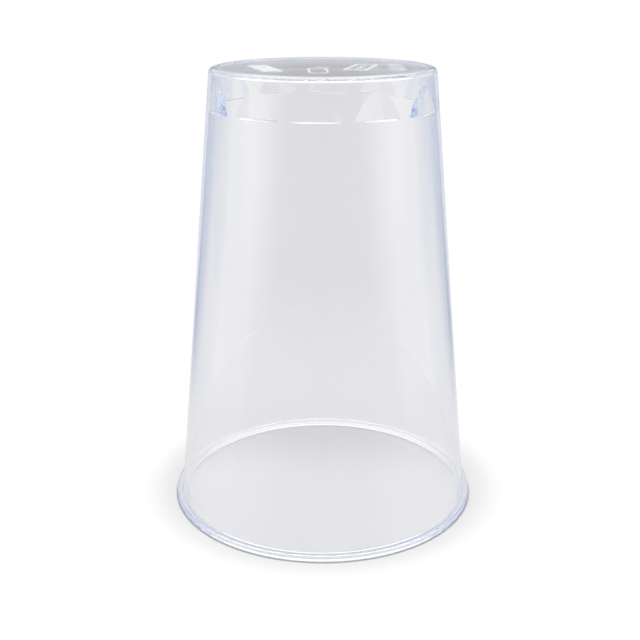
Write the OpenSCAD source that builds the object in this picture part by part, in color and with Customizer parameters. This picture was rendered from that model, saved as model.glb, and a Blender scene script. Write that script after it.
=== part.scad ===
// Clear tumbler cup, standing on its mouth as it does when it is put down to drain.
// The cup is one thin-walled moulding: a straight tapered wall with a bead round the mouth,
// a foot ring round a sunk floor, and a ring of flat pads inside, whose ledges carry the foot
// of the next cup when cups are stacked.
// The origin is the centre of the mouth, on the surface that the cup stands on, and +Z runs
// from the mouth to the foot.

/* [Cup] */
// Height from the mouth to the foot
cup_height = 110; // [90:1:140]
// Outside diameter of the wall at the mouth, without the bead
mouth_diameter = 74.9; // [68:0.1:84]
// Outside diameter of the wall at the foot, before its corner is rounded
foot_diameter = 53.6; // [48:0.1:60]

/* [Wall and floor] */
// Thickness of the wall at the mouth, measured level
mouth_wall = 0.85; // [0.7:0.05:1.4]
// Thickness of the wall at the foot, measured level
foot_wall = 0.9; // [0.7:0.05:1.4]
// Thickness of the floor
floor_thickness = 0.75; // [0.7:0.05:1.6]
// Radius where the floor turns into the wall inside
floor_fillet = 0.8; // [0.4:0.1:1.6]

/* [Mouth] */
// Height of the bead round the mouth
bead_height = 1.65; // [1.2:0.05:3]
// How far the bead stands out from the wall, at the mouth
bead_reach = 1.4; // [0.8:0.05:2.2]
// Radius of the bead's two outer edges
bead_rounding = 0.35; // [0.1:0.05:0.4]
// Radius where the bead meets the wall
bead_fillet = 0.3; // [0.1:0.05:0.4]
// Radius of the mouth's inner edge
lip_rounding = 0.2; // [0.1:0.05:0.35]

/* [Foot] */
// Radius of the foot's outer corner
foot_rounding = 1.2; // [0.4:0.1:1.3]
// Width of the foot ring at the foot
ring_width = 2.4; // [1.8:0.05:3]
// Depth of the sunk floor inside the foot ring
recess_depth = 0.25; // [0.25:0.05:1.2]
// Radius of the foot ring's inner edge
ring_rounding = 0.1; // [0.05:0.01:0.12]
// Radius where the foot ring meets the sunk floor
recess_fillet = 0.1; // [0.05:0.01:0.12]
// Diameter of the gate mark in the middle of the sunk floor
gate_diameter = 3; // [1.5:0.1:5]
// Height of the gate mark
gate_height = 0.15; // [0.05:0.05:0.2]

/* [Stacking ledges] */
// Number of flat pads round the inside of the wall
pad_count = 12; // [6:1:12]
// Distance from the foot up to the ledges, which is also the step from cup to cup in a stack
ledge_depth = 9.6; // [8:0.1:16]
// Width of a ledge at the middle of its pad
ledge_width = 0.63; // [0.4:0.01:0.75]

/* [Hidden] */
$fn = 180;
// Straight steps in each rounded edge of the section
arc_steps = 6;
mouth_radius = mouth_diameter / 2;
foot_radius = foot_diameter / 2;
bead_radius = mouth_radius + bead_reach;
ring_radius = foot_radius - ring_width;
// Heights of the sunk floor's outer face, of its inner face and of the ledges
recess_z = cup_height - recess_depth;
floor_z = recess_z - floor_thickness;
ledge_z = cup_height - ledge_depth;
// Distance from the axis to the pads' flats
pad_flat = inner_radius(ledge_z) - ledge_width;
// Half the angle between two neighbouring pads
half_pitch = 180 / pad_count;
// How far a cutting solid runs past what it cuts
past = 1;

// Outer radius of the wall at height z
function outer_radius(z) = mouth_radius + (foot_radius - mouth_radius) * z / cup_height;

// Thickness of the wall at height z, measured level
function wall_at(z) = mouth_wall + (foot_wall - mouth_wall) * z / cup_height;

// Inner radius of the wall at height z
function inner_radius(z) = outer_radius(z) - wall_at(z);

// Vector of length one along v
function unit(v) = v / norm(v);

// Points of the arc of radius r that rounds the corner at, between the points before and after
function corner_arc(before, at, after, r) =
    let (
        back = unit(before - at),
        on = unit(after - at),
        half_angle = acos(back * on) / 2,
        centre = at + unit(back + on) * r / sin(half_angle),
        first = at + back * r / tan(half_angle) - centre,
        last = at + on * r / tan(half_angle) - centre,
        start = atan2(first[1], first[0]),
        turn = atan2(cross(first, last), first * last)
    )
    [
        for (i = [0:arc_steps])
            let (angle = start + turn * i / arc_steps)
            centre + r * [cos(angle), sin(angle)]
    ];

// Outline through corners, each [x, y, radius], with every corner that has a radius rounded
function rounded(corners) =
    let (
        n = len(corners),
        points = [for (c = corners) [c[0], c[1]]]
    )
    [
        for (i = [0:n - 1])
            each corners[i][2] == 0
                ? [points[i]]
                : corner_arc(points[(i + n - 1) % n], points[i], points[(i + 1) % n], corners[i][2])
    ];

// Half section of the moulding without its pads: radius along x, height along y
function wall_section() = rounded([
    [inner_radius(0), 0, lip_rounding],
    [bead_radius, 0, bead_rounding],
    [bead_radius, bead_height, bead_rounding],
    [outer_radius(bead_height), bead_height, bead_fillet],
    [foot_radius, cup_height, foot_rounding],
    [ring_radius, cup_height, ring_rounding],
    [ring_radius, recess_z, recess_fillet],
    [gate_diameter / 2, recess_z, 0],
    [gate_diameter / 2, recess_z + gate_height, 0],
    [0, recess_z + gate_height, 0],
    [0, floor_z, 0],
    [inner_radius(floor_z), floor_z, floor_fillet]
]);

// Wall, bead, foot ring and floor in one turn round the axis
module shell() {
    rotate_extrude()
        polygon(wall_section());
}

// Pads that fill the tapered wall out to upright flats, each ending in a ledge that faces the mouth.
// They run back into the middle of the wall, so that they are one solid with it.
module stacking_pads() {
    difference() {
        rotate_extrude()
            polygon([
                [pad_flat - past, ledge_z],
                [inner_radius(ledge_z) + wall_at(ledge_z) / 2, ledge_z],
                [inner_radius(floor_z) + wall_at(floor_z) / 2, floor_z],
                [pad_flat - past, floor_z]
            ]);
        translate([0, 0, ledge_z - past])
            rotate([0, 0, half_pitch])
                cylinder(r = pad_flat / cos(half_pitch), h = floor_z - ledge_z + 2 * past, $fn = pad_count);
    }
}

// The whole cup
module tumbler() {
    color([0.86, 0.89, 0.96, 0.35])
        union() {
            shell();
            stacking_pads();
        }
}

tumbler();
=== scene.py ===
"""A clear stacking tumbler, stood on its mouth on a pale sheet, in soft light.

The cup is one injection moulding in crystal polystyrene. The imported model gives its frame, its height
and its width over the bead; this script turns the same section at a far finer step, cuts the stacking
pads into it, raises the mould's plain marks on its sunk floor and dresses it as a clear, polished
moulding.
"""
import sys

import logging
import math
from collections.abc import Iterable
from dataclasses import dataclass, field
from enum import Enum, IntEnum
from typing import Any

import bmesh
import bpy
from mathutils import Matrix, Vector


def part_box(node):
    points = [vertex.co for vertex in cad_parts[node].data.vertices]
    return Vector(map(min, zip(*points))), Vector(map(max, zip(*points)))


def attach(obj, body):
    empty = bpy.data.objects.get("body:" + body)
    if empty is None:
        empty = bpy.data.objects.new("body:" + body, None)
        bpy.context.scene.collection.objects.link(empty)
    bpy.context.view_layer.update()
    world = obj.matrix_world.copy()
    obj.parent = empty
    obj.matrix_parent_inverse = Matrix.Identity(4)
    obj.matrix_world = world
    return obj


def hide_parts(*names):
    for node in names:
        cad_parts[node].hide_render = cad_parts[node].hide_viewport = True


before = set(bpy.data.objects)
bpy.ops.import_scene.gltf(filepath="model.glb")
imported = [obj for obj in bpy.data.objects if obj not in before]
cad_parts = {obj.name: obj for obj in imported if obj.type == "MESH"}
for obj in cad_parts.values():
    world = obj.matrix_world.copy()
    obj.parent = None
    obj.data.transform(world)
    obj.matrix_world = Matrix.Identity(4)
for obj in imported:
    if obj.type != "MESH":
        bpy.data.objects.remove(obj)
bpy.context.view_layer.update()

LOG = logging.getLogger("tumbler")

MM = 0.001
# How near points lie to be merged, to be on a cutting plane, and to be level with the sunk floor
MERGED = 0.0001 * MM
ON_PLANE = 0.0005 * MM
LEVEL = 0.001 * MM

Colour = tuple[float, float, float, float]
WHITE: Colour = (1.0, 1.0, 1.0, 1.0)


class Slot(Enum):
    """Material slots of the record."""

    TUMBLER = "tumbler"


class MixSocket(IntEnum):
    """Numbers of a colour mix's sockets, because its other sockets have the same names."""

    FACTOR = 0
    MIXED = 2
    FIRST = 6
    SECOND = 7


# Settings that nodes share: a mix of colours, a product of colours, and a range that is eased at its ends
MIX = {"data_type": "RGBA"}
TIMES = {"data_type": "RGBA", "blend_type": "MULTIPLY", MixSocket.FACTOR: 1.0}
EASED = {"interpolation_type": "SMOOTHSTEP"}
# Number of the second input of a sum, a product or the like
SECOND_VALUE = 1


def linear(hex_colour: str) -> Colour:
    """Turns an sRGB hex colour into a linear one.

    Args:
        hex_colour: six hex digits after a hash, as on a colour card.

    Returns:
        Linear red, green, blue and an alpha of one.
    """
    channels = [int(hex_colour[i:i + 2], 16) / 255 for i in (1, 3, 5)]
    turned = [c / 12.92 if c <= 0.04045 else ((c + 0.055) / 1.055) ** 2.4 for c in channels]
    return turned[0], turned[1], turned[2], 1.0


def add_node(tree: bpy.types.NodeTree, kind: str, settings: dict[str | int, Any] | None = None,
             links: dict[str | int, bpy.types.NodeSocket] | None = None) -> bpy.types.Node:
    """Adds one shader node with its settings and its incoming links.

    Args:
        tree: the node tree that gets the node.
        kind: the node's type name.
        settings: values by the name or number of an input socket, or by the name of a property.
        links: output sockets of other nodes, by the name or number of the input that each feeds.

    Returns:
        The new node.
    """
    node = tree.nodes.new(kind)
    for key, value in (settings or {}).items():
        if isinstance(key, int) or key in node.inputs:
            node.inputs[key].default_value = value
        else:
            setattr(node, key, value)
    for key, socket in (links or {}).items():
        tree.links.new(socket, node.inputs[key])
    return node


def set_stops(ramp: bpy.types.ColorRamp, stops: Iterable[tuple[float, Colour]]) -> None:
    """Gives a colour ramp its stops and eases the way between them.

    Args:
        ramp: a ramp as a new node has it.
        stops: the place of each stop, from zero to one, and its linear colour.
    """
    ramp.interpolation = "EASE"
    ramp.elements.remove(ramp.elements[1])
    for i, (place, colour) in enumerate(stops):
        stop = ramp.elements.new(place) if i > 0 else ramp.elements[0]
        stop.position = place
        stop.color = colour


@dataclass(frozen=True)
class Corner:
    """One corner of the half section, in millimetres: radius, height and the radius that rounds it."""

    radius: float
    height: float
    rounding: float = 0.0

    def point(self) -> Vector:
        """The corner's place in metres, on the plane that is turned round the axis."""
        return Vector((self.radius * MM, 0.0, self.height * MM))


@dataclass(frozen=True)
class ClearPolystyrene:
    """Crystal polystyrene, injection moulded in a polished mould.

    To the eye it is water clear with a faint blue cast that shows only where the sight line runs a
    long way inside the plastic: along the silhouette, in the bead and in the foot ring. The polish is
    a little uneven, so its reflections waver. The marks on the floor come from etched places in the
    mould, and are frosted.
    """

    tint: str = "#FFFFFF"
    ior: float = 1.59
    polished: float = 0.015
    etched: float = 0.6
    etched_clear: float = 0.2
    absorbed: str = "#D0E4FF"
    absorption: float = 4.0
    ripple_mm: float = 9.0
    ripple_depth_mm: float = 0.0015
    etch_layer: str = "etched"

    def material(self) -> bpy.types.Material:
        """Builds the clear plastic's material."""
        made = bpy.data.materials.new("crystal_polystyrene_moulded_polished")
        made.use_nodes = True
        tree = made.node_tree
        tree.nodes.clear()
        place = add_node(tree, "ShaderNodeTexCoord")
        ripple = add_node(tree, "ShaderNodeTexNoise",
                          {"Scale": 1 / (self.ripple_mm * MM), "Detail": 1.0, "Roughness": 0.4},
                          {"Vector": place.outputs["Object"]})
        bump = add_node(tree, "ShaderNodeBump", {"Distance": self.ripple_depth_mm * MM, "Strength": 1.0},
                        {"Height": ripple.outputs["Fac"]})
        etch = add_node(tree, "ShaderNodeAttribute", {"attribute_name": self.etch_layer})
        rough = add_node(tree, "ShaderNodeMapRange", {"To Min": self.polished, "To Max": self.etched},
                         {"Value": etch.outputs["Fac"]})
        clear = add_node(tree, "ShaderNodeMapRange", {"To Min": 1.0, "To Max": self.etched_clear},
                         {"Value": etch.outputs["Fac"]})
        shader = add_node(tree, "ShaderNodeBsdfPrincipled",
                          {"Base Color": linear(self.tint), "IOR": self.ior},
                          {"Roughness": rough.outputs["Result"], "Normal": bump.outputs["Normal"],
                           "Transmission Weight": clear.outputs["Result"]})
        depth = add_node(tree, "ShaderNodeVolumeAbsorption",
                         {"Color": linear(self.absorbed), "Density": self.absorption})
        add_node(tree, "ShaderNodeOutputMaterial", None,
                 {"Surface": shader.outputs["BSDF"], "Volume": depth.outputs["Volume"]})
        return made


@dataclass(frozen=True)
class FloorMark:
    """A plain raised mark of the mould on the sunk floor.

    Its place is across and along the floor in millimetres, its turn in degrees. A mark with an
    outline width is only a rim of that width, and one with bars is cut into that many, each of which
    takes up the bar's share of its pitch. How strongly it is etched runs from clear at zero to frosted
    at one.
    """

    across: float
    along: float
    width: float
    length: float
    turn: float
    corner: float
    outline: float = 0.0
    bars: int = 1
    bar_share: float = 0.55
    etched: float = 1.0

    @property
    def pitch(self) -> float:
        """Distance from one bar to the next."""
        return self.length / self.bars

    @property
    def bar(self) -> float:
        """Width of one bar along the mark, which is the whole length where there is only one."""
        return self.pitch if self.bars == 1 else self.pitch * self.bar_share


@dataclass
class TumblerMoulding:
    """The whole cup, in millimetres: one turned section, with pads and ledges cut inside the foot."""

    cup_height: float
    bead_diameter: float
    bead_reach: float = 1.4
    foot_diameter: float = 53.6
    mouth_wall: float = 0.85
    foot_wall: float = 0.9
    floor_thickness: float = 0.75
    floor_fillet: float = 0.4
    bead_height: float = 1.65
    bead_rounding: float = 0.35
    bead_fillet: float = 0.3
    lip_rounding: float = 0.2
    foot_rounding: float = 1.2
    ring_width: float = 2.4
    recess_depth: float = 0.25
    ring_rounding: float = 0.1
    recess_fillet: float = 0.1
    gate_diameter: float = 3.0
    gate_height: float = 0.15
    pad_count: int = 12
    ledge_depth: float = 9.6
    ledge_width: float = 0.63
    ledge_rounding: float = 0.4
    ledge_facets: int = 3
    mark_height: float = 0.12
    mark_arc_steps: int = 5
    turn_steps: int = 360
    arc_steps: int = 8
    wall_step: float = 4.0
    sharp_angle: float = 28.0
    finish: ClearPolystyrene = field(default_factory=ClearPolystyrene)
    marks: tuple[FloorMark, ...] = (
        FloorMark(-13.2, -4.7, 4.6, 16.5, 21.0, corner=0.2, bars=9, etched=0.85),
        FloorMark(-0.6, -9.4, 4.6, 12.0, 6.0, corner=2.2, outline=0.5, etched=0.5),
        FloorMark(9.0, -0.5, 5.6, 14.5, -11.0, corner=0.8, outline=0.7, etched=0.65),
        FloorMark(9.0, -0.5, 1.2, 8.0, -11.0, corner=0.5, etched=0.3),
        FloorMark(17.2, 1.2, 3.6, 16.0, 4.0, corner=0.4, etched=0.25),
    )

    @property
    def mouth_radius(self) -> float:
        """Outer radius of the wall at the mouth, without the bead."""
        return self.bead_diameter / 2 - self.bead_reach

    @property
    def recess_height(self) -> float:
        """Height of the sunk floor's outer face."""
        return self.cup_height - self.recess_depth

    @property
    def floor_height(self) -> float:
        """Height of the floor's inner face."""
        return self.recess_height - self.floor_thickness

    @property
    def ledge_height(self) -> float:
        """Height of the ledges."""
        return self.cup_height - self.ledge_depth

    @property
    def pad_flat(self) -> float:
        """Distance from the axis to the pads' flats."""
        return self.inner_radius(self.ledge_height) - self.ledge_width

    def outer_radius(self, height: float) -> float:
        """Outer radius of the tapered wall at a height."""
        foot_radius = self.foot_diameter / 2
        return self.mouth_radius + (foot_radius - self.mouth_radius) * height / self.cup_height

    def inner_radius(self, height: float) -> float:
        """Inner radius of the tapered wall at a height."""
        wall = self.mouth_wall + (self.foot_wall - self.mouth_wall) * height / self.cup_height
        return self.outer_radius(height) - wall

    def corners(self) -> list[Corner]:
        """Lists the section's corners from the axis inside, round the mouth, to the axis outside."""
        bead_radius = self.bead_diameter / 2
        foot_radius = self.foot_diameter / 2
        ring_radius = foot_radius - self.ring_width
        gate_radius = self.gate_diameter / 2
        gate_top = self.recess_height + self.gate_height
        return [
            Corner(0.0, self.floor_height),
            Corner(self.inner_radius(self.floor_height), self.floor_height, self.floor_fillet),
            Corner(self.inner_radius(self.ledge_height), self.ledge_height),
            Corner(self.inner_radius(0.0), 0.0, self.lip_rounding),
            Corner(bead_radius, 0.0, self.bead_rounding),
            Corner(bead_radius, self.bead_height, self.bead_rounding),
            Corner(self.outer_radius(self.bead_height), self.bead_height, self.bead_fillet),
            Corner(foot_radius, self.cup_height, self.foot_rounding),
            Corner(ring_radius, self.cup_height, self.ring_rounding),
            Corner(ring_radius, self.recess_height, self.recess_fillet),
            Corner(gate_radius, self.recess_height),
            Corner(gate_radius, gate_top),
            Corner(0.0, gate_top),
        ]

    def draw_section(self, bm: bmesh.types.BMesh) -> None:
        """Draws the rounded half section as a chain of edges.

        Args:
            bm: the empty mesh that gets the section.
        """
        corners = self.corners()
        verts = [bm.verts.new(c.point()) for c in corners]
        for here, onward in zip(verts, verts[1:]):
            bm.edges.new((here, onward))
        for before, corner, after, vert in zip(corners, corners[1:], corners[2:], verts[1:]):
            if corner.rounding == 0.0:
                continue
            back = before.point() - corner.point()
            onward = after.point() - corner.point()
            reach = corner.rounding * MM / math.tan(back.angle(onward) / 2)
            bmesh.ops.bevel(bm, geom=[vert], offset=reach, offset_type="OFFSET", segments=self.arc_steps,
                            profile=0.5, affect="VERTICES", clamp_overlap=False, material=-1)
        for edge in list(bm.edges):
            cuts = int(edge.calc_length() / (self.wall_step * MM))
            if cuts > 0 and edge.verts[0].co.x != 0.0 and edge.verts[1].co.x != 0.0:
                bmesh.ops.subdivide_edges(bm, edges=[edge], cuts=cuts)

    def turn_section(self, bm: bmesh.types.BMesh) -> None:
        """Turns the section round the axis and closes its poles.

        Args:
            bm: the mesh that holds the section.
        """
        bmesh.ops.spin(bm, geom=bm.verts[:] + bm.edges[:], axis=(0, 0, 1), cent=(0, 0, 0),
                       steps=self.turn_steps, angle=math.tau, use_merge=True, use_duplicate=False)
        bmesh.ops.remove_doubles(bm, verts=bm.verts[:], dist=MERGED)

    def pad_zones(self, bm: bmesh.types.BMesh) -> list[list[bmesh.types.BMFace]]:
        """Sorts the inner wall's faces between floor and ledges by the pad that they lie nearest to.

        Args:
            bm: the turned mesh.

        Returns:
            One list of faces for each pad.
        """
        zones = [[] for _ in range(self.pad_count)]
        for face in bm.faces:
            centre = face.calc_center_median()
            height = centre.z / MM
            inside = centre.xy.length / MM < self.inner_radius(height) + self.foot_wall / 2
            if inside and self.ledge_height < height < self.floor_height:
                turn = math.atan2(centre.y, centre.x) / math.tau
                zones[round(turn * self.pad_count) % self.pad_count].append(face)
        return zones

    def pad_planes(self, facing: Vector) -> list[tuple[Vector, Vector]]:
        """Lists the planes that bound one pad, from its flat round its rounded edge to its ledge.

        Args:
            facing: level direction from the axis to the pad's middle.

        Returns:
            A point on each plane and the direction that the plane faces, out of the plastic.
        """
        rounding = self.ledge_rounding
        middle = facing * (self.pad_flat + rounding) * MM
        middle.z = (self.ledge_height + rounding) * MM
        planes = []
        for i in range(self.ledge_facets + 2):
            angle = math.pi / 2 * i / (self.ledge_facets + 1)
            outward = facing * -math.cos(angle) + Vector((0.0, 0.0, -math.sin(angle)))
            planes.append((middle + outward * rounding * MM, outward))
        return planes

    def cut_pad(self, bm: bmesh.types.BMesh, zone: list[bmesh.types.BMFace], facing: Vector) -> None:
        """Cuts the wall back to one pad and closes it with the flat, its rounded edge and its ledge.

        Args:
            bm: the turned mesh.
            zone: the inner wall's faces on the pad's side.
            facing: level direction from the axis to the pad's middle.
        """
        planes = self.pad_planes(facing)
        behind = zone
        # Each element is listed once, in its place, so the operators are given the same order in every run
        for point, outward in planes[:-1]:
            edges = list(dict.fromkeys(edge for face in behind for edge in face.edges))
            verts = list(dict.fromkeys(vert for face in behind for vert in face.verts))
            cut = bmesh.ops.bisect_plane(bm, geom=verts + edges + behind, dist=MERGED,
                                         plane_co=point, plane_no=outward)
            behind = [item for item in cut["geom"] if isinstance(item, bmesh.types.BMFace)
                      and (item.calc_center_median() - point).dot(outward) < 0.0]
        rim = dict.fromkeys(edge for face in behind for edge in face.edges)
        bmesh.ops.delete(bm, geom=behind, context="FACES")
        rim = [edge for edge in rim if edge.is_valid and edge.is_boundary]
        corners = dict.fromkeys(vert for edge in rim for vert in edge.verts)
        touching = [[vert for vert in corners if abs((vert.co - point).dot(outward)) < ON_PLANE]
                    for point, outward in planes]
        chords = [bm.edges.new([vert for vert in here if vert in onward])
                  for here, onward in zip(touching, touching[1:])]
        for i, verts in enumerate(touching):
            sides = [edge for edge in rim if set(edge.verts) <= set(verts)]
            bmesh.ops.edgeloop_fill(bm, edges=sides + chords[max(i - 1, 0):i + 1])
        for edge in rim + chords:
            edge.smooth = False

    def cut_pads(self, bm: bmesh.types.BMesh) -> None:
        """Cuts every stacking pad.

        Args:
            bm: the turned mesh.
        """
        for i, zone in enumerate(self.pad_zones(bm)):
            angle = math.tau * i / self.pad_count
            self.cut_pad(bm, zone, Vector((math.cos(angle), math.sin(angle), 0.0)))

    def raise_marks(self, bm: bmesh.types.BMesh) -> None:
        """Raises the mould's marks from the sunk floor and fills the floor round them.

        Args:
            bm: the turned mesh.
        """
        etched = bm.faces.layers.float.new(self.finish.etch_layer)
        base = self.recess_height * MM
        flat = [face for face in bm.faces if all(abs(vert.co.z - base) < LEVEL for vert in face.verts)]
        bmesh.ops.delete(bm, geom=flat, context="FACES")
        for mark in self.marks:
            for face in self.draw_mark(bm, mark):
                face[etched] = mark.etched
        rim = [edge for edge in bm.edges if edge.is_boundary]
        bmesh.ops.triangle_fill(bm, use_beauty=True, use_dissolve=False, edges=rim)

    def draw_mark(self, bm: bmesh.types.BMesh, mark: FloorMark) -> list[bmesh.types.BMFace]:
        """Draws one mark as raised blocks that are open below, one for each of its bars.

        Args:
            bm: the turned mesh, with its sunk floor taken out.
            mark: the mark's size and place.

        Returns:
            The faces on top of the mark.
        """
        tops = []
        place = (Matrix.Translation((mark.across * MM, mark.along * MM, self.recess_height * MM))
                 @ Matrix.Rotation(math.radians(mark.turn), 4, "Z"))
        for i in range(mark.bars):
            shift = (i - (mark.bars - 1) / 2) * mark.pitch * MM
            new = bmesh.ops.create_grid(bm, x_segments=1, y_segments=1, size=0.5)["verts"]
            bmesh.ops.scale(bm, vec=(mark.width * MM, mark.bar * MM, 1.0), verts=new)
            bmesh.ops.translate(bm, vec=(0.0, shift, 0.0), verts=new)
            bmesh.ops.transform(bm, matrix=place, verts=new)
            rounded = bmesh.ops.bevel(bm, geom=new, offset=mark.corner * MM, offset_type="OFFSET",
                                      segments=self.mark_arc_steps, profile=0.5, affect="VERTICES",
                                      clamp_overlap=True, material=-1)
            face = rounded["verts"][0].link_faces[0]
            if mark.outline > 0.0:
                rim = bmesh.ops.inset_region(bm, faces=[face], thickness=mark.outline * MM,
                                             use_boundary=True, use_even_offset=True)
                bmesh.ops.delete(bm, geom=[face], context="FACES_ONLY")
                faces = rim["faces"]
            else:
                faces = [face]
            raised = bmesh.ops.extrude_face_region(bm, geom=faces)["geom"]
            bmesh.ops.delete(bm, geom=[face for face in faces if face.is_valid], context="FACES")
            lifted = [item for item in raised if isinstance(item, bmesh.types.BMVert)]
            bmesh.ops.translate(bm, vec=(0.0, 0.0, self.mark_height * MM), verts=lifted)
            tops += [item for item in raised if isinstance(item, bmesh.types.BMFace)]
        return tops

    def build(self) -> bpy.types.Object:
        """Builds and dresses the cup.

        Returns:
            The cup's object, riding on the root body in place of the plain solid.
        """
        bm = bmesh.new()
        self.draw_section(bm)
        self.turn_section(bm)
        for face in bm.faces:
            face.smooth = True
        self.cut_pads(bm)
        self.raise_marks(bm)
        bmesh.ops.recalc_face_normals(bm, faces=bm.faces[:])
        for edge in bm.edges:
            if len(edge.link_faces) == 2 and edge.calc_face_angle() > math.radians(self.sharp_angle):
                edge.smooth = False
        open_edges = sum(not edge.is_manifold for edge in bm.edges)
        mesh = bpy.data.meshes.new("tumbler_moulding")
        bm.to_mesh(mesh)
        bm.free()
        cup = bpy.data.objects.new("tumbler_moulding", mesh)
        bpy.context.scene.collection.objects.link(cup)
        mesh.materials.append(self.finish.material())
        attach(cup, "root")
        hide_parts("tumbler")
        LOG.info("%s: %d faces, %d open edges", cup.name, len(mesh.polygons), open_edges)
        return cup


@dataclass(frozen=True)
class StudioShade:
    """What the studio looks like low down, round about the cup, where the plastic bends or mirrors it.

    Behind the cup it goes by lines that spread from a point in front of the cup: it is dimmer in the
    middle, and lighter on either side of that. Each line is a slope and a colour. Further round it goes
    by the angle from straight behind, in degrees: cool and dim next to the background, and bright at
    both sides, where soft boxes stand. In the world this is the light itself; on the sheet it is
    painted light and shade.
    """

    turn: float = 3.3
    spread_from: float = 0.43
    lines_end: float = 0.105
    round_start: float = 0.155
    lines: tuple[tuple[float, str], ...] = (
        (0.0, "#CFCFD2"),
        (0.032, "#CFCFD2"),
        (0.055, "#D7D7DA"),
        (0.105, "#D7D7DA"),
    )
    stops: tuple[tuple[float, str], ...] = (
        (0.0, "#C8CCD6"),
        (18.0, "#C8CCD6"),
        (25.0, "#CED3DF"),
        (30.0, "#CED3DF"),
        (37.0, "#A8AFC1"),
        (50.0, "#ACB5C6"),
        (64.0, "#CFD5DC"),
        (76.0, "#DDE1E6"),
        (86.0, "#FFFFFF"),
        (112.0, "#FFFFFF"),
        (124.0, "#DEDEE0"),
        (180.0, "#D8D8DA"),
    )

    def add_to(self, tree: bpy.types.NodeTree, place: bpy.types.NodeSocket,
               far: bool) -> bpy.types.NodeSocket:
        """Adds the shading to a node tree.

        Args:
            tree: the node tree that gets the nodes.
            place: the place on the sheet, or the direction in the world.
            far: true for a direction, for which the point where the lines start makes no difference.

        Returns:
            The shade's colour.
        """
        facing = add_node(tree, "ShaderNodeVectorRotate",
                          {"rotation_type": "Z_AXIS", "Angle": -math.radians(self.turn)},
                          {"Vector": place})
        split = add_node(tree, "ShaderNodeSeparateXYZ", None, {"Vector": facing.outputs["Vector"]})
        aside = add_node(tree, "ShaderNodeMath", {"operation": "ABSOLUTE"}, {"Value": split.outputs["X"]})
        angle = add_node(tree, "ShaderNodeMath", {"operation": "ARCTAN2"},
                         {"Value": aside.outputs["Value"], SECOND_VALUE: split.outputs["Y"]})
        share = add_node(tree, "ShaderNodeMapRange", {"From Max": math.pi},
                         {"Value": angle.outputs["Value"]})
        round_about = add_node(tree, "ShaderNodeValToRGB", None, {"Fac": share.outputs["Result"]})
        set_stops(round_about.color_ramp,
                  ((degrees / 180.0, linear(colour)) for degrees, colour in self.stops))
        onward = add_node(tree, "ShaderNodeMath",
                          {"operation": "ADD", SECOND_VALUE: 0.0 if far else self.spread_from},
                          {"Value": split.outputs["Y"]})
        reach = add_node(tree, "ShaderNodeMath", {"operation": "MAXIMUM", SECOND_VALUE: MM},
                         {"Value": onward.outputs["Value"]})
        slope = add_node(tree, "ShaderNodeMath", {"operation": "DIVIDE"},
                         {"Value": aside.outputs["Value"], SECOND_VALUE: reach.outputs["Value"]})
        line = add_node(tree, "ShaderNodeMapRange", {"From Max": self.lines_end},
                        {"Value": slope.outputs["Value"]})
        behind = add_node(tree, "ShaderNodeValToRGB", None, {"Fac": line.outputs["Result"]})
        set_stops(behind.color_ramp,
                  ((tilt / self.lines_end, linear(colour)) for tilt, colour in self.lines))
        past = add_node(tree, "ShaderNodeMapRange",
                        {"From Min": self.lines_end, "From Max": self.round_start} | EASED,
                        {"Value": slope.outputs["Value"]})
        shade = add_node(tree, "ShaderNodeMix", MIX,
                         {MixSocket.FACTOR: past.outputs["Result"],
                          MixSocket.FIRST: behind.outputs["Color"],
                          MixSocket.SECOND: round_about.outputs["Color"]})
        return shade.outputs[MixSocket.MIXED]


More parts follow.
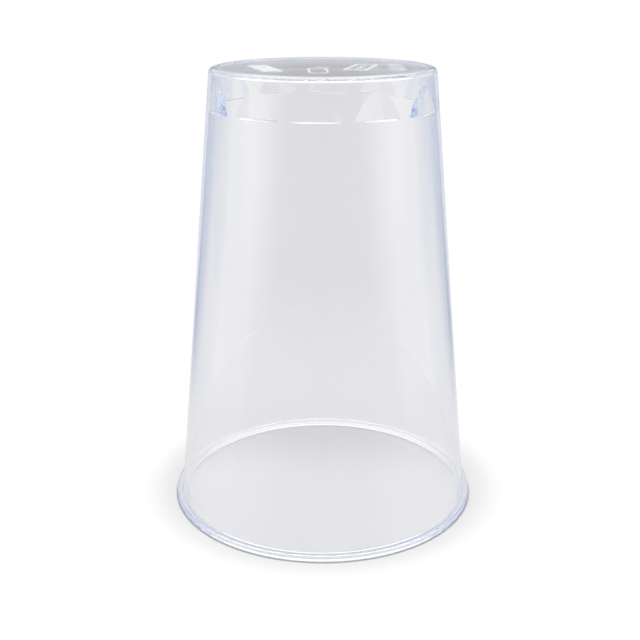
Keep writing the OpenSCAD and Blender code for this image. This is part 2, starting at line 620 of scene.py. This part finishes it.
@dataclass(frozen=True)
class MattPaper:
    """Uncoated paper, rolled smooth, with all distances in metres.

    To the eye it is plain and pale, with no gloss. Seen bare it has a painted soft shadow round the cup
    and a thin painted dark line of shade where the bead touches it. What the plastic mirrors and bends
    of it has the studio's light and shade painted on further off, and is painted lighter next to the cup.
    A painted band of light lies on it round the back of the bead, and under the cup painted shade dims
    it a little towards the back and the middle.
    """

    pale: str = "#F7F7F7"
    bare: str = "#E9E9E9"
    # Painted shadow: the bare sheet is painted darker round the cup, with its middle set back
    shadow: str = "#EAEAEA"
    shadow_back: float = 0.003
    shadow_from: float = 0.0385
    shadow_to: float = 0.0500
    # Painted shade: colour of a thin dark line painted where the bead touches the sheet
    painted_contact_shade: str = "#BEBEC2"
    contact_radius: float = 0.0386
    contact_from: float = 0.0003
    contact_to: float = 0.0009
    # Painted shade under the cup: the sheet is painted darker towards the back and in the middle
    under_front: str = "#DDDDE0"
    painted_back_shade: str = "#CDCDD1"
    under_from: float = 0.0
    under_to: float = 0.034
    painted_middle_shade: str = "#FAFAF9"
    side_from: float = 0.008
    side_to: float = 0.024
    # Painted light: a band of light painted on the sheet round the back of the bead
    painted_bead_light: str = "#EEEEF2"
    caught_from: float = 0.037
    caught_to: float = 0.0383
    # Painted light: the sheet is painted lighter next to the cup
    painted_light_beside: str = "#D7D7DA"
    beside_from: float = 0.0408
    beside_to: float = 0.0422
    near: float = 0.045
    away: float = 0.2
    shade: StudioShade = field(default_factory=StudioShade)

    def material(self) -> bpy.types.Material:
        """Builds the matt paper's material."""
        made = bpy.data.materials.new("matt_paper_sheet")
        made.use_nodes = True
        tree = made.node_tree
        tree.nodes.clear()
        place = add_node(tree, "ShaderNodeTexCoord").outputs["Object"]
        # Seen bare the sheet has its painted shadow; mirrored or bent by the plastic it has painted light
        # and shade
        path = add_node(tree, "ShaderNodeLightPath")
        seen = add_node(tree, "ShaderNodeMix", MIX,
                        {MixSocket.FACTOR: path.outputs["Is Camera Ray"],
                         MixSocket.FIRST: self.in_plastic(tree, place),
                         MixSocket.SECOND: self.seen_bare(tree, place)})
        shader = add_node(tree, "ShaderNodeBsdfDiffuse", None, {"Color": seen.outputs[MixSocket.MIXED]})
        add_node(tree, "ShaderNodeOutputMaterial", None, {"Surface": shader.outputs["BSDF"]})
        return made

    def in_plastic(self, tree: bpy.types.NodeTree, place: bpy.types.NodeSocket) -> bpy.types.NodeSocket:
        """Adds the sheet as the plastic mirrors and bends it, with painted light and shade from under the
        cup outwards.

        Args:
            tree: the material's node tree.
            place: the place on the sheet.

        Returns:
            The sheet's colour.
        """
        split = add_node(tree, "ShaderNodeSeparateXYZ", None, {"Vector": place})
        away = add_node(tree, "ShaderNodeVectorMath", {"operation": "LENGTH"}, {"Vector": place})
        # Painted shade under the cup, darker towards the back
        back = add_node(tree, "ShaderNodeMapRange",
                        {"From Min": self.under_from, "From Max": self.under_to} | EASED,
                        {"Value": split.outputs["Y"]})
        under = add_node(tree, "ShaderNodeMix",
                         MIX | {MixSocket.FIRST: linear(self.under_front),
                                MixSocket.SECOND: linear(self.painted_back_shade)},
                         {MixSocket.FACTOR: back.outputs["Result"]})
        # Painted shade in the middle under the cup
        aside = add_node(tree, "ShaderNodeMath", {"operation": "ABSOLUTE"}, {"Value": split.outputs["X"]})
        side = add_node(tree, "ShaderNodeMapRange",
                        {"From Min": self.side_from, "From Max": self.side_to} | EASED,
                        {"Value": aside.outputs["Value"]})
        middle = add_node(tree, "ShaderNodeMix",
                          MIX | {MixSocket.FIRST: linear(self.painted_middle_shade), MixSocket.SECOND: WHITE},
                          {MixSocket.FACTOR: side.outputs["Result"]})
        below = add_node(tree, "ShaderNodeMix", TIMES,
                         {MixSocket.FIRST: under.outputs[MixSocket.MIXED],
                          MixSocket.SECOND: middle.outputs[MixSocket.MIXED]})
        # Painted light round the back of the bead
        painted_bead_light = add_node(tree, "ShaderNodeMix",
                          MIX | {MixSocket.FIRST: linear(self.painted_light_beside),
                                 MixSocket.SECOND: linear(self.painted_bead_light)},
                          {MixSocket.FACTOR: back.outputs["Result"]})
        to_rim = add_node(tree, "ShaderNodeMapRange",
                          {"From Min": self.caught_from, "From Max": self.caught_to} | EASED,
                          {"Value": away.outputs["Value"]})
        rim = add_node(tree, "ShaderNodeMix", MIX,
                       {MixSocket.FACTOR: to_rim.outputs["Result"],
                        MixSocket.FIRST: below.outputs[MixSocket.MIXED],
                        MixSocket.SECOND: painted_bead_light.outputs[MixSocket.MIXED]})
        # Painted light next to the cup
        past_rim = add_node(tree, "ShaderNodeMapRange",
                            {"From Min": self.beside_from, "From Max": self.beside_to} | EASED,
                            {"Value": away.outputs["Value"]})
        painted_light_beside = add_node(tree, "ShaderNodeMix", MIX | {MixSocket.SECOND: linear(self.painted_light_beside)},
                          {MixSocket.FACTOR: past_rim.outputs["Result"],
                           MixSocket.FIRST: rim.outputs[MixSocket.MIXED]})
        # Painted light and shade: further off, the studio's light and shade is painted on the sheet
        far_off = add_node(tree, "ShaderNodeMapRange",
                           {"From Min": self.near, "From Max": self.away} | EASED,
                           {"Value": away.outputs["Value"]})
        shaded = add_node(tree, "ShaderNodeMix", MIX,
                          {MixSocket.FACTOR: far_off.outputs["Result"],
                           MixSocket.FIRST: painted_light_beside.outputs[MixSocket.MIXED],
                           MixSocket.SECOND: self.shade.add_to(tree, place, far=False)})
        whole = add_node(tree, "ShaderNodeMix", TIMES | {MixSocket.FIRST: linear(self.pale)},
                         {MixSocket.SECOND: shaded.outputs[MixSocket.MIXED]})
        return whole.outputs[MixSocket.MIXED]

    def seen_bare(self, tree: bpy.types.NodeTree, place: bpy.types.NodeSocket) -> bpy.types.NodeSocket:
        """Adds the sheet as the camera sees it next to the cup, with a painted soft shadow and a thin
        painted dark line where the bead touches it.

        Args:
            tree: the material's node tree.
            place: the place on the sheet.

        Returns:
            The sheet's colour.
        """
        # Painted shadow round the cup, on the sheet's colour
        moved = add_node(tree, "ShaderNodeVectorMath",
                         {"operation": "ADD", SECOND_VALUE: (0.0, -self.shadow_back, 0.0)},
                         {"Vector": place})
        out = add_node(tree, "ShaderNodeVectorMath", {"operation": "LENGTH"},
                       {"Vector": moved.outputs["Vector"]})
        lit = add_node(tree, "ShaderNodeMapRange",
                       {"From Min": self.shadow_from, "From Max": self.shadow_to} | EASED,
                       {"Value": out.outputs["Value"]})
        soft = add_node(tree, "ShaderNodeMix",
                        MIX | {MixSocket.FIRST: linear(self.shadow), MixSocket.SECOND: WHITE},
                        {MixSocket.FACTOR: lit.outputs["Result"]})
        bare = add_node(tree, "ShaderNodeMix", TIMES | {MixSocket.FIRST: linear(self.bare)},
                        {MixSocket.SECOND: soft.outputs[MixSocket.MIXED]})
        # Painted shade: a thin dark line painted on the sheet where the bead touches it
        away = add_node(tree, "ShaderNodeVectorMath", {"operation": "LENGTH"}, {"Vector": place})
        off = add_node(tree, "ShaderNodeMath",
                       {"operation": "SUBTRACT", SECOND_VALUE: self.contact_radius},
                       {"Value": away.outputs["Value"]})
        reach = add_node(tree, "ShaderNodeMath", {"operation": "ABSOLUTE"},
                         {"Value": off.outputs["Value"]})
        free = add_node(tree, "ShaderNodeMapRange",
                        {"From Min": self.contact_from, "From Max": self.contact_to} | EASED,
                        {"Value": reach.outputs["Value"]})
        ring = add_node(tree, "ShaderNodeMix",
                        MIX | {MixSocket.FIRST: linear(self.painted_contact_shade), MixSocket.SECOND: WHITE},
                        {MixSocket.FACTOR: free.outputs["Result"]})
        whole = add_node(tree, "ShaderNodeMix", TIMES,
                         {MixSocket.FIRST: bare.outputs[MixSocket.MIXED],
                          MixSocket.SECOND: ring.outputs[MixSocket.MIXED]})
        return whole.outputs[MixSocket.MIXED]


@dataclass
class PaleSheet:
    """The sheet of pale paper that the cup stands on, wide enough to reach its own horizon, in metres.

    A film of air as thick as the paper's roughness lies between it and the mouth.
    """

    reach: float = 6.0
    air_film_mm: float = 0.05
    edge_steps: int = 96
    finish: MattPaper = field(default_factory=MattPaper)

    def build(self) -> bpy.types.Object:
        """Lays the sheet under the cup.

        Returns:
            The sheet's object.
        """
        bm = bmesh.new()
        disc = bmesh.ops.create_circle(bm, cap_ends=True, segments=self.edge_steps, radius=self.reach)
        bmesh.ops.translate(bm, vec=(0.0, 0.0, -self.air_film_mm * MM), verts=disc["verts"])
        mesh = bpy.data.meshes.new("pale_sheet")
        bm.to_mesh(mesh)
        bm.free()
        sheet = bpy.data.objects.new("pale_sheet", mesh)
        bpy.context.scene.collection.objects.link(sheet)
        mesh.materials.append(self.finish.material())
        LOG.info("%s: %.1f m across", sheet.name, 2 * self.reach)
        return sheet


@dataclass
class SoftStudio:
    """Soft light from all round: a wide soft box overhead and pale walls below it.

    Each stop is a height above the horizon, in degrees, and how bright the studio is there, for the
    walls behind the cup and for the rest. The wall behind has a dim gap above its foot and a dim band
    under the soft box. Low down the studio's shade colours it all. Seen bare, the backdrop is plain.
    Light may pass a clear edge many hundred times before it leaves it, so the bounces allow for that.
    """

    brightest: float = 1.6
    backdrop: float = 1.1
    behind: tuple[tuple[float, float], ...] = (
        (0.0, 1.15),
        (3.0, 1.15),
        (4.0, 1.1),
        (4.9, 0.82),
        (5.5, 0.5),
        (7.8, 0.42),
        (9.6, 1.2),
        (22.0, 1.2),
        (27.0, 0.32),
        (35.0, 0.36),
        (41.0, 1.5),
    )
    around: tuple[tuple[float, float], ...] = (
        (0.0, 1.15),
        (6.0, 1.0),
        (14.0, 0.88),
        (25.0, 0.82),
        (34.0, 0.75),
        (41.0, 1.5),
    )
    behind_to: float = 8.0
    around_from: float = 24.0
    shade_to: float = 7.0
    white_from: float = 14.0
    bounces: int = 1024
    shade: StudioShade = field(default_factory=StudioShade)

    def wall(self, tree: bpy.types.NodeTree, up: bpy.types.NodeSocket,
             stops: tuple[tuple[float, float], ...]) -> bpy.types.NodeSocket:
        """Adds how bright a wall is at each height.

        Args:
            tree: the world's node tree.
            up: the upward share of the direction.
            stops: heights above the horizon and how bright the wall is there.

        Returns:
            The brightness, as a share of the brightest.
        """
        ramp = add_node(tree, "ShaderNodeValToRGB", None, {"Fac": up})
        set_stops(ramp.color_ramp,
                  ((math.sin(math.radians(degrees)), (level / self.brightest,) * 3 + (1.0,))
                   for degrees, level in stops))
        return ramp.outputs["Color"]

    def light(self, tree: bpy.types.NodeTree) -> bpy.types.Node:
        """Adds the studio as it lights the cup and as the plastic mirrors and bends it.

        Args:
            tree: the world's node tree.

        Returns:
            The background node.
        """
        place = add_node(tree, "ShaderNodeTexCoord").outputs["Generated"]
        split = add_node(tree, "ShaderNodeSeparateXYZ", None, {"Vector": place})
        aside = add_node(tree, "ShaderNodeMapRange",
                         {"From Min": math.cos(math.radians(self.behind_to)),
                          "From Max": math.cos(math.radians(self.around_from))} | EASED,
                         {"Value": split.outputs["Y"]})
        level = add_node(tree, "ShaderNodeMix", MIX,
                         {MixSocket.FACTOR: aside.outputs["Result"],
                          MixSocket.FIRST: self.wall(tree, split.outputs["Z"], self.behind),
                          MixSocket.SECOND: self.wall(tree, split.outputs["Z"], self.around)})
        lifted = add_node(tree, "ShaderNodeMapRange",
                          {"From Min": math.sin(math.radians(self.shade_to)),
                           "From Max": math.sin(math.radians(self.white_from))} | EASED,
                          {"Value": split.outputs["Z"]})
        colour = add_node(tree, "ShaderNodeMix", MIX | {MixSocket.SECOND: WHITE},
                          {MixSocket.FACTOR: lifted.outputs["Result"],
                           MixSocket.FIRST: self.shade.add_to(tree, place, far=True)})
        lit = add_node(tree, "ShaderNodeMix", TIMES,
                       {MixSocket.FIRST: colour.outputs[MixSocket.MIXED],
                        MixSocket.SECOND: level.outputs[MixSocket.MIXED]})
        return add_node(tree, "ShaderNodeBackground", {"Strength": self.brightest},
                        {"Color": lit.outputs[MixSocket.MIXED]})

    def build(self) -> None:
        """Lights the scene."""
        world = bpy.data.worlds.new("soft_studio")
        bpy.context.scene.world = world
        world.use_nodes = True
        tree = world.node_tree
        tree.nodes.clear()
        light = self.light(tree)
        plain = add_node(tree, "ShaderNodeBackground", {"Color": WHITE, "Strength": self.backdrop})
        path = add_node(tree, "ShaderNodeLightPath")
        seen = add_node(tree, "ShaderNodeMixShader", None, {"Fac": path.outputs["Is Camera Ray"]})
        tree.links.new(light.outputs["Background"], seen.inputs[1])
        tree.links.new(plain.outputs["Background"], seen.inputs[2])
        add_node(tree, "ShaderNodeOutputWorld", None, {"Surface": seen.outputs["Shader"]})
        cycles = bpy.context.scene.cycles
        cycles.blur_glossy = 0.0
        cycles.max_bounces = self.bounces
        cycles.glossy_bounces = self.bounces
        cycles.transmission_bounces = self.bounces
        view = bpy.context.scene.view_settings
        view.view_transform = "Standard"
        view.look = "None"
        LOG.info("soft studio light: %.2f overhead", self.around[-1][1])


@dataclass
class ProductCamera:
    """The camera at the photograph's angle, in metres and degrees."""

    distance: float = 0.24448
    height: float = 0.13197
    pitch: float = 18.985
    azimuth: float = 3.3
    lens_mm: float = 56.957
    sensor_mm: float = 36.0
    shift_x: float = -0.0045
    shift_y: float = -0.0069
    nearest: float = 0.01
    farthest: float = 50.0

    def build(self) -> bpy.types.Object:
        """Sets the camera up.

        Returns:
            The camera's object.
        """
        data = bpy.data.cameras.new("product_camera")
        data.lens = self.lens_mm
        data.sensor_width = self.sensor_mm
        data.shift_x = self.shift_x
        data.shift_y = self.shift_y
        data.clip_start = self.nearest
        data.clip_end = self.farthest
        camera = bpy.data.objects.new("product_camera", data)
        turn = math.radians(self.azimuth)
        camera.location = (self.distance * math.sin(turn), -self.distance * math.cos(turn), self.height)
        camera.rotation_euler = (math.radians(90.0 - self.pitch), 0.0, turn)
        bpy.context.scene.collection.objects.link(camera)
        bpy.context.scene.camera = camera
        LOG.info("camera %.0f mm away, %.1f degrees down", self.distance / MM, self.pitch)
        return camera


def main() -> None:
    """Builds the cup, the sheet, the light and the camera, in that order."""
    logging.basicConfig(level=logging.INFO, format="%(name)s: %(message)s", stream=sys.stdout)
    low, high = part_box("tumbler")
    width, height = (round((high[axis] - low[axis]) / MM, 3) for axis in (0, 2))
    TumblerMoulding(cup_height=height, bead_diameter=width).build()
    PaleSheet().build()
    SoftStudio().build()
    ProductCamera().build()


if __name__ == "__main__":
    main()
